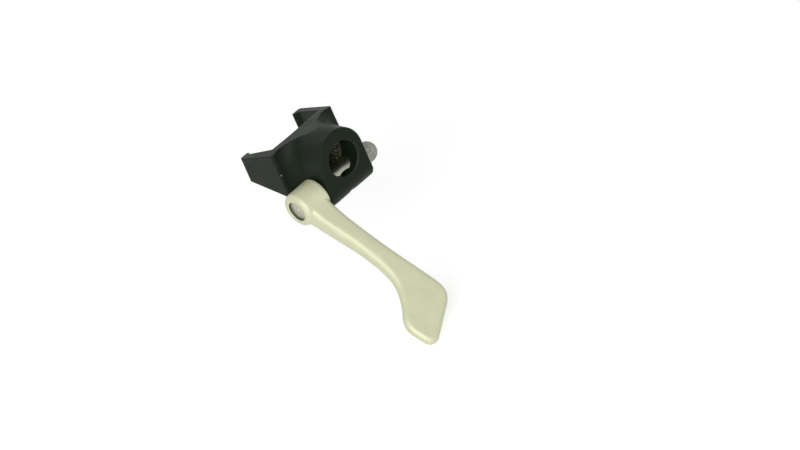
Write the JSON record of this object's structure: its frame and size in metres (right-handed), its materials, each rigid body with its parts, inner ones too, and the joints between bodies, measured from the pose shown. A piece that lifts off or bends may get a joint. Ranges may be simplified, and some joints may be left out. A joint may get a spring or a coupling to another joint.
{
  "type": "quick-release cam lever",
  "caption": "Quick-release lever adapter for a bicycle rim brake: a forked housing with a stepped stud bore and a bowed paddle lever on a notched cam shaft that locks or frees the stud.",
  "frame": {"origin": "on the stud bore's axis, at the shoulder where the wide entry bore meets the stud's head seat", "axes": "-Y out of the bore's mouth, +X along the cam shaft away from the lever, +Z the outer side of the housing"},
  "size_m": [0.0323, 0.0563, 0.0476],
  "materials": {
    "housing_black": "satin black coating",
    "lever_satin": "satin champagne anodised",
    "shaft_steel": "turned, bright",
    "ring_steel": "stamped spring steel"
  },
  "bodies": {
    "housing": {"adapter_housing": "housing_black"},
    "lever": {"cam_lever": "lever_satin", "cam_shaft": "shaft_steel", "retaining_ring": "ring_steel"}
  },
  "joints": [
    {"name": "cam_pivot", "type": "hinge", "parent": "housing", "child": "lever", "pos_m": [0, -0.0031, -0.0059], "axis": [-1, 0, 0], "range_deg": [0, 125]}
  ]
}
